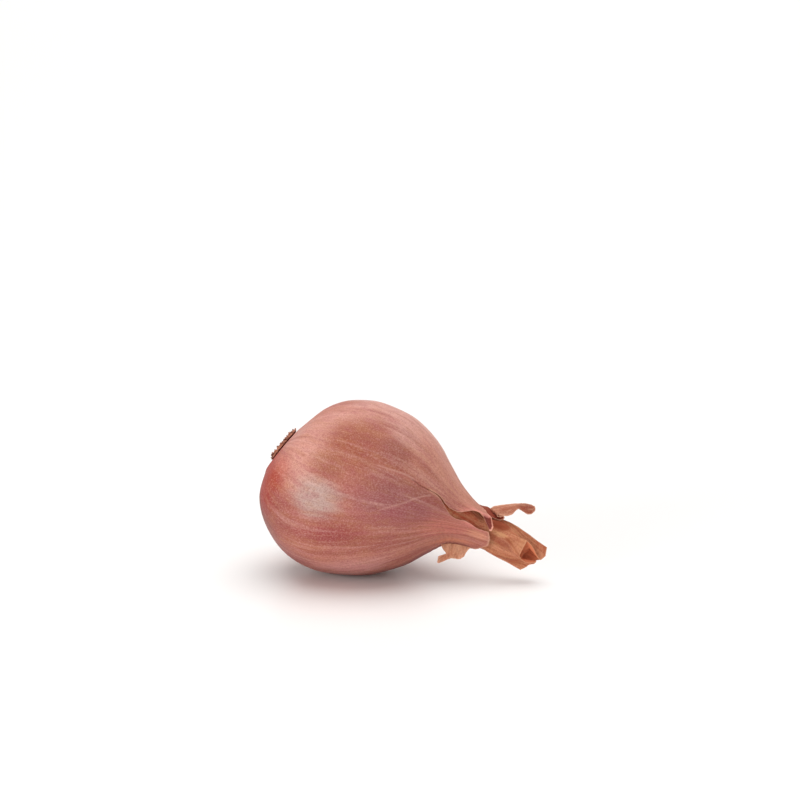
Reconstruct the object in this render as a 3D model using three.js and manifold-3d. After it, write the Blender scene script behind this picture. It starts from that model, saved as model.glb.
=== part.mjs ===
// A shallot lying on its side: a plump bulb in its papery copper-pink skin, torn open at the
// dried neck, which points towards +X.
// Millimetres, +Z up. The origin is the centre of the small flat spot that the bulb rests on.

import * as THREE from 'three';
import { mergeVertices } from 'three/addons/utils/BufferGeometryUtils.js';
import Module from 'manifold-3d';

const wasm = await Module();
wasm.setup();

// Angles round the bulb are in degrees: 0 on top, 90 at the front (-Y), 180 below, 270 behind.

// Bulb: the [x, z] control points of its axis, from the root to the neck, and its outer skin as
// [distance along the axis, radius above it, radius below it] from the middle of the root dimple.
const axisControls = [[-20.2, 31.3], [-5.8, 20], [14.1, 18.6], [31.5, 13.1]];
const skinProfile = [
  [0.8, 0, 0], [0.8, 4.6, 4.6], [0.1, 6, 6], [0.6, 8.8, 7.8], [3, 15.4, 13.8], [7.5, 19.6, 18.9],
  [13, 21.9, 22.3], [19, 23.3, 23.1], [25, 23.4, 21.9], [31, 22.5, 19.8], [36, 20.2, 16.9],
  [40, 17.3, 14.1], [44, 13.2, 10.3], [48.5, 8.9, 6.5], [54, 5.6, 5.6], [60, 5.5, 5.5],
];
const skinColumns = 64;
const rowsPerProfileStep = 3;
const bulbDepth = 0.97;          // front-to-back width of a section, as a share of its height
const neckDepth = 0.8;
const ribHeight = 0.35;          // of the low ribs that gather towards the neck

// Torn rim of the outer skin: [angle, distance along the axis].
const rimStart = 36;             // nothing nearer the root than this follows the rim
const rimTable = [
  [0, 54.4], [12, 55.5], [34, 57.1], [50, 58.1], [63, 58.5], [75, 57.8], [93, 59], [111, 58.9],
  [130, 57.4], [148, 56], [165, 53.5], [180, 52.4], [200, 53.6], [225, 51.4], [250, 53.6],
  [275, 52], [300, 54], [325, 52.8], [345, 54], [360, 54.4],
];
const lipAngle = 42;             // where the upper lip stands away from the neck
const lipSpread = 26;
const lipLift = 0.9;

// Tear in the skin: [distance along the axis, angle of its upper edge, angle of its lower edge].
const tearTable = [
  [37, 50.2, 51.6], [41, 51.2, 52.6], [43.6, 50.4, 51.8], [45.2, 53.6, 55], [46.2, 56.3, 59.5],
  [47.6, 58.3, 66.5], [49.6, 58.5, 71.2], [51.2, 50, 70], [53.7, 46, 72], [56.4, 52.5, 75.5],
  [58.5, 62, 80], [61, 66, 84],
];
const crackDepth = 0.5;
const tearDepth = 1.5;           // where the tear lies over the inner sheath
const tearOpensAt = 45.4;

// Flap of torn skin that hangs under the neck: [x, y of its root, z of its root, z of its edge].
const flapTable = [
  [21.8, -4.6, 9.9, 4.6], [23.4, -4.2, 9.9, 6.3], [25.2, -3.5, 9.8, 5.6], [27.2, -2.8, 9.2, 5.7],
  [28.8, -2.2, 8.8, 7],
];
const flapSwing = 1.5;           // how far its edge hangs in front of its root
const flapThickness = 0.7;

// Inner sheath, which fills the neck and sticks out of it as a flat dry tube.
const sheathNeckStations = [46, 48.5, 51, 54];      // distances along the bulb's axis
const sheathTaper = 1.4;         // how much slimmer it starts, deep in the neck
const skinWall = 0.9;            // of the outer skin round the sheath
const sheathDrop = 0.7;          // how much lower and slimmer it is than the neck's hollow there
const sheathPoints = [[35, 11.5], [39.8, 9.4], [43.3, 7.7], [46.6, 5.9]];
const sheathSizes = [[4.6, 2.9], [5, 2.6], [4.5, 2.3], [4.3, 2.2]];      // half height, half depth
const sheathMouthTable = [       // [angle, distance along the sheath]
  [0, 27.4], [45, 24.4], [80, 21.6], [110, 21.4], [150, 23], [180, 24.4], [230, 25.6],
  [300, 27.2], [360, 27.4],
];
const sheathWall = 0.8;
const sheathPocketStart = 17.5;
const sheathFold = 0.35;
const sheathColumns = 44;
const sheathRows = 22;

// Curled strip of skin from the top of the neck: [x, y, z] along its middle, then its half width.
const stripTable = [
  [30.4, 0.4, 19, 2.9], [33.2, 0.4, 18.3, 2.7], [36.2, 0.3, 18.2, 2.5], [39.8, 0, 19.6, 1.9],
  [43.2, -0.3, 20.5, 1.5], [45.3, -0.5, 20.2, 1.3], [46.3, -0.5, 18.7, 1.1],
];
const stripThickness = 0.7;
const stripArch = 0.9;           // how far its edges curl down
const stripTwist = 16;
const stripRoom = 0.9;           // of the neck's hollow below it

// Root plate: dried disc with short root stubs, as [distance along the axis, radius].
const plateProfile = [[-0.9, 4.7], [-0.35, 5.3], [0.45, 4.2]];
const plateColumns = 22;
const stubCount = 30;
const stubSunk = 0.45;
const stubLength = [0.5, 1];
const stubRadius = [0.35, 0.6];
const stubSplay = 2.2;            // how far the outer ones lean outwards

const pieceGap = 0.3;            // between two pieces that touch
const restDepth = 3;             // of the block that cuts the resting spot
const restWidth = 16;

const frontward = new THREE.Vector3(0, -1, 0);

// Reads column of a table of rows that rise in their first number.
function interpolate(table, at, column = 1) {
  const above = table.findIndex((row) => row[0] >= at);
  if (above === 0) return table[0][column];
  if (above === -1) return table[table.length - 1][column];
  const [from, to] = [table[above - 1], table[above]];
  return THREE.MathUtils.mapLinear(at, from[0], to[0], from[column], to[column]);
}

function seededRandom(seed) {
  let state = seed;
  return (low, high) => {
    state = (Math.imul(state, 1664525) + 1013904223) >>> 0;
    return low + (high - low) * (state / 4294967296);
  };
}

function flatPoint([x, z]) {
  return new THREE.Vector3(x, 0, z);
}

// Middle and directions of a curve at a distance along it, straight on past its ends.
function curveFrame(curve, along) {
  const length = curve.getLength();
  const inside = THREE.MathUtils.clamp(along, 0, length);
  const forward = curve.getTangentAt(inside / length);
  const centre = curve.getPointAt(inside / length).addScaledVector(forward, along - inside);
  return { centre, forward, up: frontward.clone().cross(forward) };
}

// Point of a section across a curve, at an angle round it.
function sectionPoint(frame, angle, height, depth) {
  const turn = THREE.MathUtils.degToRad(angle);
  return frame.centre.clone()
    .addScaledVector(frame.up, Math.cos(turn) * height)
    .addScaledVector(frontward, Math.sin(turn) * depth);
}

// Closed solid through rings of points, each end a fan to its own middle point.
function loft(rings) {
  const columns = rings[0].length;
  const middle = (ring) => ring.reduce((sum, p) => sum.add(p), new THREE.Vector3())
    .divideScalar(columns);
  const points = [...rings.flat(), middle(rings[0]), middle(rings[rings.length - 1])];
  const startPole = points.length - 2;
  const index = [];
  for (let column = 0; column < columns; column += 1) {
    const next = (column + 1) % columns;
    for (let row = 0; row < rings.length - 1; row += 1) {
      const [near, far] = [row * columns, (row + 1) * columns];
      index.push(near + column, near + next, far + next, near + column, far + next, far + column);
    }
    const last = (rings.length - 1) * columns;
    index.push(startPole, next, column, startPole + 1, last + column, last + next);
  }
  return solidFrom(points, index);
}

// Closed sheet of even thickness on a grid of points: grid[row][column].
function thickSheet(grid, thickness) {
  const [rows, columns] = [grid.length, grid[0].length];
  const normalAt = (row, column) => {
    const along = grid[Math.min(row + 1, rows - 1)][column].clone()
      .sub(grid[Math.max(row - 1, 0)][column]);
    const across = grid[row][Math.min(column + 1, columns - 1)].clone()
      .sub(grid[row][Math.max(column - 1, 0)]);
    return along.cross(across).normalize();
  };
  const side = (sign) => grid.flatMap((line, row) => line.map((point, column) => point.clone()
    .addScaledVector(normalAt(row, column), sign * thickness / 2)));
  const points = [...side(1), ...side(-1)];
  const back = rows * columns;
  const index = [];
  const addQuad = (a, b, c, d) => index.push(a, b, c, a, c, d);
  for (let row = 0; row < rows - 1; row += 1) {
    for (let column = 0; column < columns - 1; column += 1) {
      const corner = row * columns + column;
      const [a, b, c, d] = [corner, corner + columns, corner + columns + 1, corner + 1];
      addQuad(a, b, c, d);
      addQuad(back + d, back + c, back + b, back + a);
    }
  }
  const rim = [];
  for (let column = 0; column < columns - 1; column += 1) rim.push(column);
  for (let row = 0; row < rows - 1; row += 1) rim.push(row * columns + columns - 1);
  for (let column = columns - 1; column > 0; column -= 1) rim.push((rows - 1) * columns + column);
  for (let row = rows - 1; row > 0; row -= 1) rim.push(row * columns);
  rim.forEach((from, place) => {
    const to = rim[(place + 1) % rim.length];
    addQuad(from, to, back + to, back + from);
  });
  return solidFrom(points, index);
}

function solidFrom(points, index) {
  const geometry = new THREE.BufferGeometry().setFromPoints(points);
  geometry.setIndex(index);
  return solidFromGeometry(geometry);
}

function solidFromGeometry(geometry) {
  geometry.deleteAttribute('normal');
  geometry.deleteAttribute('uv');
  const merged = mergeVertices(geometry, 1e-4);
  return new wasm.Manifold(new wasm.Mesh({
    numProp: 3,
    vertProperties: new Float32Array(merged.attributes.position.array),
    triVerts: new Uint32Array(merged.index.array),
  }));
}

// A cut can leave loose crumbs: this keeps the body itself.
function largestBody(solid) {
  return solid.decompose().reduce((best, body) => (body.volume() > best.volume() ? body : best));
}

function geometryFromSolid(solid) {
  const { vertProperties, triVerts } = solid.getMesh();
  const geometry = new THREE.BufferGeometry();
  geometry.setAttribute('position', new THREE.BufferAttribute(vertProperties, 3));
  geometry.setIndex(new THREE.BufferAttribute(triVerts, 1));
  geometry.computeVertexNormals();
  return geometry;
}

// Outer skin

const axis = new THREE.CubicBezierCurve3(...axisControls.map(flatPoint));
const profile = new THREE.CatmullRomCurve3(skinProfile.map((row) => new THREE.Vector3(...row)));
const profileSteps = profile.getPoints((skinProfile.length - 1) * rowsPerProfileStep)
  .map((point) => point.toArray());
const profileFromShoulder = profileSteps.slice(2 * rowsPerProfileStep);
const skinLength = skinProfile[skinProfile.length - 1][0];

// Radii of the skin above and below the axis.
function skinRadii(along) {
  return [1, 2].map((column) => interpolate(profileFromShoulder, along, column));
}

function radiusAtAngle([above, below], angle) {
  return THREE.MathUtils.lerp(above, below, (1 - Math.cos(THREE.MathUtils.degToRad(angle))) / 2);
}

function skinDepth(along) {
  const share = THREE.MathUtils.smoothstep(along, 38, 54);
  return THREE.MathUtils.lerp(bulbDepth, neckDepth, share);
}

function ribs(angle, along) {
  const turn = THREE.MathUtils.degToRad(angle);
  const waves = 0.5 * Math.cos(9 * turn + 0.6) + 0.3 * Math.cos(14 * turn + 2.1)
    + 0.2 * Math.cos(5 * turn);
  return ribHeight * THREE.MathUtils.smoothstep(along, 24, 50) * waves;
}

function lift(angle, along) {
  const nearLip = 1 - THREE.MathUtils.smoothstep(Math.abs(angle - lipAngle), 0, lipSpread);
  return lipLift * nearLip * THREE.MathUtils.smoothstep(along, 47, 54);
}

function skinPoint(angle, along, radius) {
  const outer = radius + Math.min(1, radius / 4) * ribs(angle, along) + lift(angle, along);
  return sectionPoint(curveFrame(axis, along), angle, outer, outer * skinDepth(along));
}

function skinSolid() {
  const rings = profileSteps.slice(1).map(([rowAlong, ...rowRadii]) => {
    const ring = [];
    for (let column = 0; column < skinColumns; column += 1) {
      const angle = 360 * column / skinColumns;
      const share = Math.max(0, rowAlong - rimStart) / (skinLength - rimStart);
      const along = rowAlong + share * (interpolate(rimTable, angle) - skinLength);
      const radii = rowAlong > rimStart ? skinRadii(along) : rowRadii;
      ring.push(skinPoint(angle, along, radiusAtAngle(radii, angle)));
    }
    return ring;
  });
  return loft(rings);
}

// Wedge that opens the skin along the tear.
function tearSolid() {
  const rings = tearTable.map(([along, upper, lower]) => {
    const radius = radiusAtAngle(skinRadii(along), upper);
    const inner = radius - (along < tearOpensAt ? crackDepth : tearDepth);
    const outer = radius + 3;
    const middle = (upper + lower) / 2;
    const corners = [[upper, outer], [middle, outer], [lower, outer], [lower, inner], [middle, inner],
      [upper, inner]];
    const frame = curveFrame(axis, along);
    return corners.map(([angle, reach]) => sectionPoint(frame, angle, reach, reach * skinDepth(along)));
  });
  return loft(rings);
}

function flapSolid() {
  const rows = 5;
  const columns = 12;
  const [left, right] = [flapTable[0][0], flapTable[flapTable.length - 1][0]];
  const grid = [];
  for (let row = 0; row <= rows; row += 1) {
    const line = [];
    for (let column = 0; column <= columns; column += 1) {
      const x = THREE.MathUtils.lerp(left, right, column / columns);
      const share = row / rows;
      const y = interpolate(flapTable, x, 1) - flapSwing * share ** 1.5;
      const z = THREE.MathUtils.lerp(interpolate(flapTable, x, 2), interpolate(flapTable, x, 3), share);
      line.push(new THREE.Vector3(x + 0.4 * Math.sin(2 * share), y + 0.35 * Math.sin(x * 2.1), z));
    }
    grid.push(line);
  }
  return thickSheet(grid, flapThickness);
}

// Inner sheath

// Where the neck's hollow holds it: the middle of the hollow, and the room in it.
const sheathNeck = sheathNeckStations.map((along, place) => {
  const [above, below] = skinRadii(along);
  const { centre, up } = curveFrame(axis, along);
  const drop = sheathDrop * place / (sheathNeckStations.length - 1);
  const wall = skinWall + pieceGap + (place === 0 ? sheathTaper : 0);
  const halfHeight = (above + below) / 2 - wall - drop;
  const halfDepth = skinDepth(along) * (above + below) / 2 - wall;
  centre.addScaledVector(up, (above - below) / 2 - drop);
  return { centre, size: [halfHeight, halfDepth] };
});
const sheathAxis = new THREE.CatmullRomCurve3([
  ...sheathNeck.map(({ centre }) => centre),
  ...sheathPoints.map(flatPoint),
]);
const sheathLengths = sheathAxis.getLengths(400);
const sheathTable = [...sheathNeck.map(({ size }) => size), ...sheathSizes]
  .map((size, place, all) => [sheathLengths[Math.round(400 * place / (all.length - 1))], ...size]);

function sheathRing(along, offset, mouthAt) {
  const ring = [];
  for (let column = 0; column < sheathColumns; column += 1) {
    const angle = 360 * column / sheathColumns;
    const turn = THREE.MathUtils.degToRad(angle);
    const reach = mouthAt === undefined ? along : mouthAt(angle, along);
    const folds = Math.cos(3 * turn + 0.4) + 0.7 * Math.cos(7 * turn + 1.9);
    const fold = sheathFold * THREE.MathUtils.smoothstep(reach, 11, 17) * folds;
    const height = interpolate(sheathTable, reach, 1) + offset + fold;
    const depth = interpolate(sheathTable, reach, 2) + offset + fold;
    ring.push(sectionPoint(curveFrame(sheathAxis, reach), angle, height, depth));
  }
  return ring;
}

function sheathBody(from, offset, mouthExtra) {
  const longest = sheathMouthTable[0][1];
  const mouthAt = (angle, along) => {
    const mouth = interpolate(sheathMouthTable, angle) + mouthExtra;
    const share = Math.max(0, along - sheathPocketStart) / (longest - sheathPocketStart);
    return along + share * (mouth - longest);
  };
  const rings = [];
  for (let row = 0; row <= sheathRows; row += 1) {
    rings.push(sheathRing(THREE.MathUtils.lerp(from, longest, row / sheathRows), offset, mouthAt));
  }
  return loft(rings);
}

// Curled strip

function stripSolid(extra, lowered = 0) {
  const middle = new THREE.CatmullRomCurve3(stripTable.map(([x, y, z]) => new THREE.Vector3(x, y, z)));
  const rows = 22;
  const columns = 6;
  const twist = THREE.MathUtils.degToRad(stripTwist);
  const grid = [];
  for (let row = 0; row <= rows; row += 1) {
    const share = row / rows;
    const forward = middle.getTangent(share);
    const past = extra * (Math.floor(share) - (row === 0 ? 1 : 0));
    const centre = middle.getPoint(share).addScaledVector(forward, past);
    centre.z -= lowered;
    const across = frontward.clone().applyAxisAngle(forward, twist * share);
    const up = across.clone().cross(forward).normalize();
    const stripWidths = stripTable.map((station, place) => [place, station[3]]);
    const halfWidth = interpolate(stripWidths, share * (stripTable.length - 1)) + extra;
    const line = [];
    for (let column = 0; column <= columns; column += 1) {
      const side = 2 * column / columns - 1;
      line.push(centre.clone().addScaledVector(across, side * halfWidth)
        .addScaledVector(up, -stripArch * side * side));
    }
    grid.push(line);
  }
  return thickSheet(grid, stripThickness + 2 * extra);
}

// Root plate

function rootPlateSolid() {
  const random = seededRandom(7);
  const frame = curveFrame(axis, 0);
  const ragged = Array.from({ length: plateColumns }, () => random(-0.3, 0.2));
  const rings = plateProfile.map(([along, radius]) => ragged.map((extra, column) => {
    const angle = 360 * column / plateColumns;
    return sectionPoint(frame, angle, radius + extra, radius + extra)
      .addScaledVector(frame.forward, along);
  }));
  let plate = loft(rings);
  for (let stub = 0; stub < stubCount; stub += 1) {
    const angle = stub * 137.5;
    const fromMiddle = 4.4 * Math.sqrt((stub + 0.5) / stubCount);
    const foot = sectionPoint(frame, angle, fromMiddle, fromMiddle).addScaledVector(frame.forward, -0.9);
    const outward = foot.clone().sub(frame.centre).multiplyScalar(stubSplay * random(0.4, 1) / 4.4);
    const direction = frame.forward.clone().negate().add(outward).normalize();
    const length = random(...stubLength) + stubSunk;
    const radius = random(...stubRadius);
    const geometry = new THREE.CylinderGeometry(radius * 0.6, radius, length, 5);
    geometry.translate(0, length / 2 - stubSunk, 0);
    geometry.applyQuaternion(new THREE.Quaternion().setFromUnitVectors(new THREE.Vector3(0, 1, 0), direction));
    geometry.translate(foot.x, foot.y, foot.z);
    plate = plate.add(solidFromGeometry(geometry));
  }
  return plate;
}

// Assembly

const shallot = new THREE.Group();

function addPiece(name, solid, color, roughness) {
  const material = new THREE.MeshStandardMaterial({ color, roughness, metalness: 0 });
  const piece = new THREE.Mesh(geometryFromSolid(solid), material);
  piece.name = name;
  shallot.add(piece);
}

const restBlock = new THREE.BoxGeometry(restWidth, restWidth, restDepth).translate(0, 0, -restDepth / 2);
const bulb = skinSolid()
  .add(flapSolid())
  .subtract(sheathBody(-pieceGap, pieceGap, 4))
  .subtract(stripSolid(pieceGap))
  .subtract(stripSolid(pieceGap, stripRoom))
  .subtract(tearSolid())
  .subtract(solidFromGeometry(restBlock));
const neckSheath = sheathBody(0, 0, 0).subtract(sheathBody(sheathPocketStart, -sheathWall, 2));

addPiece('bulb', largestBody(bulb), '#b4716a', 0.42);
addPiece('neck_sheath', neckSheath, '#c98a5c', 0.6);
addPiece('curled_strip', stripSolid(0), '#c98264', 0.55);
addPiece('root_plate', rootPlateSolid(), '#8f6a45', 0.85);

export default shallot;
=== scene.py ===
import math

import bpy
import bmesh
import numpy as np
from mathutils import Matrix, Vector, noise


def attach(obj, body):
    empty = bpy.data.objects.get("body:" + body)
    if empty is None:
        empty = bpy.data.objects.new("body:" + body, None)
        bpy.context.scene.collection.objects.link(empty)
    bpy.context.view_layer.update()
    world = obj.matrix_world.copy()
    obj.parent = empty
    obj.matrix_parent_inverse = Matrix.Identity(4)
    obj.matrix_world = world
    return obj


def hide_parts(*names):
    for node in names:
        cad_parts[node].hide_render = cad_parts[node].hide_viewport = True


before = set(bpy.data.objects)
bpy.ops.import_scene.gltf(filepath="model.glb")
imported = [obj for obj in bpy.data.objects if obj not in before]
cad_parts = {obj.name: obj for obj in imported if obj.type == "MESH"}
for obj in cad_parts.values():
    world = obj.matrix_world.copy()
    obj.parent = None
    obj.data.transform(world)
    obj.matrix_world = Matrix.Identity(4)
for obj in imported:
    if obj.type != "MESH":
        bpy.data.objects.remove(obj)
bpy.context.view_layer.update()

# A shallot lying on its side, its torn dry neck towards +X. Shapes are worked out in millimetres
# and turned to metres when a mesh is made. Angles round the bulb are in degrees: 0 on top,
# 90 at the front (-Y), 180 below, 270 behind.
mm = 0.001  # of a metre
frontward = np.array([0, -1, 0])


# Small helpers.

def ease(value, low, high):
    share = np.clip((value - low) / (high - low), 0, 1)
    return share * share * (3 - 2 * share)


def between(value, rise, fall):
    # Rises over one stretch and falls over another.
    return ease(value, *rise) * (1 - ease(value, *fall))


def readTable(table, at, column=1):
    rows = np.array(table, float)
    return np.interp(at, rows[:, 0], rows[:, column])


def readColumns(table, at, columns):
    return [readTable(table, at, column) for column in columns]


def blend(first, second, share):
    return first + (second - first) * share


def evenSteps(count, end=1):
    return np.linspace(0, end, count + 1)


def unit(vectors):
    return vectors / np.maximum(np.linalg.norm(vectors, axis=-1, keepdims=True), 1e-9)


def noiseField(points, size, seed=0):
    flat = (np.asarray(points, float) / size + seed).reshape(-1, 3).tolist()
    values = np.array([noise.noise(point) for point in flat])
    return values.reshape(np.shape(points)[:-1])


def ringPoint(angle, radius=1, along=0):
    # Point on a cylinder, where noise has no seam.
    turn = np.radians(angle)
    return np.stack([radius * np.cos(turn), radius * np.sin(turn), along + 0 * turn], -1)


def ribsRound(angle, ribs):
    # Ribs as [number round, height, shift].
    turn = np.radians(angle)
    return sum(high * np.cos(number * turn + shift) for number, high, shift in ribs)


def smoothCurve(points, steps):
    # Centripetal Catmull-Rom curve through the points, steps + 1 samples.
    points = np.array(points, float)
    last = len(points) - 1
    before = 2 * points[0] - points[1]
    after = 2 * points[last] - points[last - 1]
    padded = np.vstack([before, points, after])
    samples = []
    for step in range(steps + 1):
        place = min(last * step / steps, last - 1e-9)
        piece = int(place)
        share = place - piece
        p0, p1, p2, p3 = padded[piece:piece + 4]
        pairs = ((p0, p1), (p1, p2), (p2, p3))
        d0, d1, d2 = (max(np.linalg.norm(b - a) ** 0.5, 1e-4) for a, b in pairs)
        t1 = d1 * ((p1 - p0) / d0 - (p2 - p0) / (d0 + d1) + (p2 - p1) / d1)
        t2 = d1 * ((p2 - p1) / d1 - (p3 - p1) / (d1 + d2) + (p3 - p2) / d2)
        c2 = -3 * p1 + 3 * p2 - 2 * t1 - t2
        c3 = 2 * p1 - 2 * p2 + t1 + t2
        samples.append(p1 + t1 * share + c2 * share ** 2 + c3 * share ** 3)
    return np.array(samples)


def bezierCurve(controls, steps):
    share = evenSteps(steps)[:, None]
    a, b, c, d = (np.array([x, 0, z]) for x, z in controls)
    rest = 1 - share
    return a * rest ** 3 + 3 * b * share * rest ** 2 + 3 * c * share ** 2 * rest + d * share ** 3


def pathLengths(points):
    return np.concatenate([[0], np.cumsum(np.linalg.norm(np.diff(points, axis=0), axis=1))])


def measuredPath(points, overrun=10):
    # It runs straight on past both ends; lengths count from the first given point.
    first = points[0] - points[1]
    last = points[-1] - points[-2]
    points = np.vstack([
        points[0] + first / np.linalg.norm(first) * overrun, points,
        points[-1] + last / np.linalg.norm(last) * overrun,
    ])
    lengths = pathLengths(points)
    middle = (lengths[1:] + lengths[:-1]) / 2
    forward = np.diff(points, axis=0) / np.diff(lengths)[:, None]
    return {"at": lengths - overrun, "point": points, "middle": middle - overrun, "forward": forward}


def pathFrame(path, along):
    centre, forward = (
        np.stack([np.interp(along, path[at], path[value][:, i]) for i in range(3)], -1)
        for at, value in (("at", "point"), ("middle", "forward")))
    forward = unit(forward)
    return centre, forward, np.cross(frontward, forward)


def sectionPoint(path, along, angle, height, depth):
    centre, forward, up = pathFrame(path, along)
    turn = np.radians(angle)
    upPart = (np.cos(turn) * height)[..., None]
    frontPart = (np.sin(turn) * depth)[..., None]
    return centre + upPart * up + frontPart * frontward


def gridNormals(grid):
    down = np.gradient(grid, axis=0)
    across = np.gradient(grid, axis=1)
    return unit(np.cross(down, across))


def gridQuads(index):
    a, b, c, d = index[:-1, :-1], index[:-1, 1:], index[1:, 1:], index[1:, :-1]
    return np.stack([a, b, c, d], -1).reshape(-1, 4).tolist()


def fanFaces(ring, middle):
    # Triangles from a ring of points to the point in its middle.
    return [(a, b, middle) for a, b in zip(ring[:-1], ring[1:])]


def shellFaces(outer, inner):
    # Point numbers of its outer grid, inner grid and first cap point, and its faces.
    outerIndex = np.arange(outer[..., 0].size).reshape(outer.shape[:2])
    innerIndex = outerIndex.size + np.arange(inner[..., 0].size).reshape(inner.shape[:2])
    faces = gridQuads(outerIndex) + gridQuads(innerIndex[:, ::-1])
    faces += gridQuads(np.stack([outerIndex[-1], innerIndex[-1]], 0))
    return outerIndex, innerIndex, outerIndex.size + innerIndex.size, faces


def shellValues(outside, inside, caps):
    # The same points' values, in the same order.
    width = np.shape(outside)[2:]
    return np.concatenate([np.reshape(part, (-1, *width)) for part in (outside, inside, caps)])


def addToScene(name, data):
    thing = bpy.data.objects.new(name, data)
    bpy.context.scene.collection.objects.link(thing)
    return thing


def makePiece(name, points, faces, attributes, mergeWithin=0.004, sharpAngle=55):
    mesh = bpy.data.meshes.new(name)
    mesh.from_pydata((np.asarray(points) * mm).tolist(), [], faces)
    for key, values in attributes.items():
        values = np.asarray(values, np.float32)
        kind, field = ("FLOAT_VECTOR", "vector") if values.ndim == 2 else ("FLOAT", "value")
        mesh.attributes.new(key, kind, "POINT").data.foreach_set(field, values.ravel())
    work = bmesh.new()
    work.from_mesh(mesh)
    bmesh.ops.remove_doubles(work, verts=work.verts, dist=mergeWithin * mm)
    bmesh.ops.dissolve_degenerate(work, edges=work.edges, dist=1e-7)
    bmesh.ops.recalc_face_normals(work, faces=work.faces)
    openEdges = sum(1 for edge in work.edges if len(edge.link_faces) != 2)
    work.to_mesh(mesh)
    work.free()
    mesh.shade_smooth()
    mesh.set_sharp_from_angle(angle=math.radians(sharpAngle))
    piece = addToScene(name, mesh)
    print(f"{name}: {len(mesh.vertices)} points, {len(mesh.polygons)} faces, {openEdges} open edges")
    return piece


# Outer skin.

# The skin's axis and its profile: [distance along the axis, radius above it, radius below it].
skin = {
    "axis": [(-20.2, 31.3), (-5.8, 20), (14.1, 18.6), (31.5, 13.1)],
    "profile": [
        (0.8, 0, 0), (0.8, 4.6, 4.6), (0.1, 6, 6), (0.6, 8.8, 7.8), (3, 15.4, 13.8), (7.5, 19.6, 18.9),
        (13, 21.9, 22.3), (19, 23.3, 23.1), (25, 23.4, 21.9), (31, 22.5, 19.8), (36, 20.2, 16.9),
        (40, 17.3, 14.1), (44, 13.2, 10.3), (48.5, 8.9, 6.5), (54, 5.6, 5.6), (60, 5.5, 5.5),
    ],
    "bulbDepth": 0.97,  # front-to-back width of a section, as a share of its height
    "neckDepth": 0.8, "columns": 288,
    "bulbStep": 0.56,  # between rows on the bulb, and on the neck
    "neckStep": 0.25,
    "rimStart": 36,  # rows past here reach to the torn rim
    "profileEnd": 60,
    "pocketStart": 41,  # the neck is hollow from here to its rim
    "paperThickness": 0.26,
    "thickStretch": (41, 50),  # it thins along here
    "grainRadius": 22,  # the veins lie on a cylinder of this radius
    "veinSlant": -1,  # degrees in a millimetre, on the lower front
    "slantMiddle": 22, "slantEnd": 44,
    "reliefNoise": {  # [size, share of that size along the grain, seed]
        "dents": (11, 0.6, 3.1), "pleats": (2.7, 0.1, 8.4), "fine": (1.1, 0.08, 5.2),
        "drift": (7, 1, 1.7),
    },
    "ribs": [(9, 0.5, 0.6), (14, 0.3, 2.1), (5, 0.2, 0)],
    "ribHeight": 0.09, "dentDepth": 0.25,
    "gatherHeight": 0.07,  # of the pleats that draw in towards the neck
    "fineHeight": 0.05,
    "wrinkleHeight": 0.09,  # of the creases across the lower side of the neck
    "wrinkleTurn": 5.6,  # radians of their wave in a millimetre
    "wrinkleDrift": 2.2,
    "lipAngle": 42,  # where the upper lip stands away from the neck
    "lipSpread": 26, "lipLift": 0.9, "cornerAngle": (396, 400),
    "crackLift": 0.22,  # the crack's upper side stands proud
    "lowerCurl": 0.25,  # the lower lip curls outwards
    "grooveDepth": 0.5,
    "tearReach": 70,  # degrees over which the columns bend to follow the tear
    "tearRaggedness": 0.5, "rimRaggedness": 0.22,
    # Torn rim: [angle, distance along the axis].
    "rim": [
        (0, 53.4), (9, 54.2), (20, 55), (33, 55.6), (36, 56), (40, 56.6), (48.6, 57.6), (56, 58.4),
        (61.5, 58.7), (67.7, 58.7), (75, 58), (93, 59), (111, 58.9), (130, 57.4), (148, 56),
        (165, 53.5), (180, 52.4), (200, 53.6), (225, 51.4), (250, 53.6), (275, 52), (300, 54),
        (325, 52.8), (345, 53.4), (360, 53.4),
    ],
    "rimAtTear": 58.4,  # where the tear meets the rim
    # Tear: [distance along the axis, angle of its upper edge, angle of its lower edge].
    "tear": [
        (24, 53.4, 53.4), (28, 53, 53), (31, 52.5, 52.5), (36.2, 50.6, 50.6), (38.3, 51.2, 51.2),
        (39.4, 51.9, 51.9), (41, 51.6, 51.6), (42, 51.2, 51.7), (43.6, 50.3, 51.4), (44.7, 51.6, 53),
        (45.3, 53.5, 55.4), (46.2, 56, 59.5), (47.2, 58, 65), (48.2, 58.6, 69.2), (49.4, 58.2, 71.4),
        (50.3, 54.5, 70.8), (51, 50.5, 69.2), (51.9, 45, 69.4), (52.9, 40, 70.8), (53.8, 37.6, 73),
        (54.6, 37.4, 75.4), (55.4, 39.5, 76.4), (56.2, 49, 76.2), (57, 58.5, 75.8), (57.8, 68.5, 75.6),
        (58.5, 73.6, 75.6), (60, 75, 77),
    ],
}
# Pale lines on the skin, beyond the crack and at an outer film: [distance along the axis, angle].
paleLines = {
    "crack": [(26, 53.2), (31, 52.5), (36.2, 50.4), (38.3, 51)],
    "film": [(30, 84), (31.3, 81.5), (34, 77), (37.1, 71), (40, 62.5), (42.7, 54.5)],
    "width": 0.32,
}
tearMiddle = 51.5  # angle where the skin's first and last columns meet
profileSteps = 100  # samples of the profile between two of its rows
bulbAxis = measuredPath(bezierCurve(skin["axis"], 500))
profileCurve = smoothCurve(skin["profile"], profileSteps * (len(skin["profile"]) - 1))
# Past the hollow round the root, which three rows make, it only goes on along the axis.
shoulderCurve = profileCurve[3 * profileSteps:]


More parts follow.
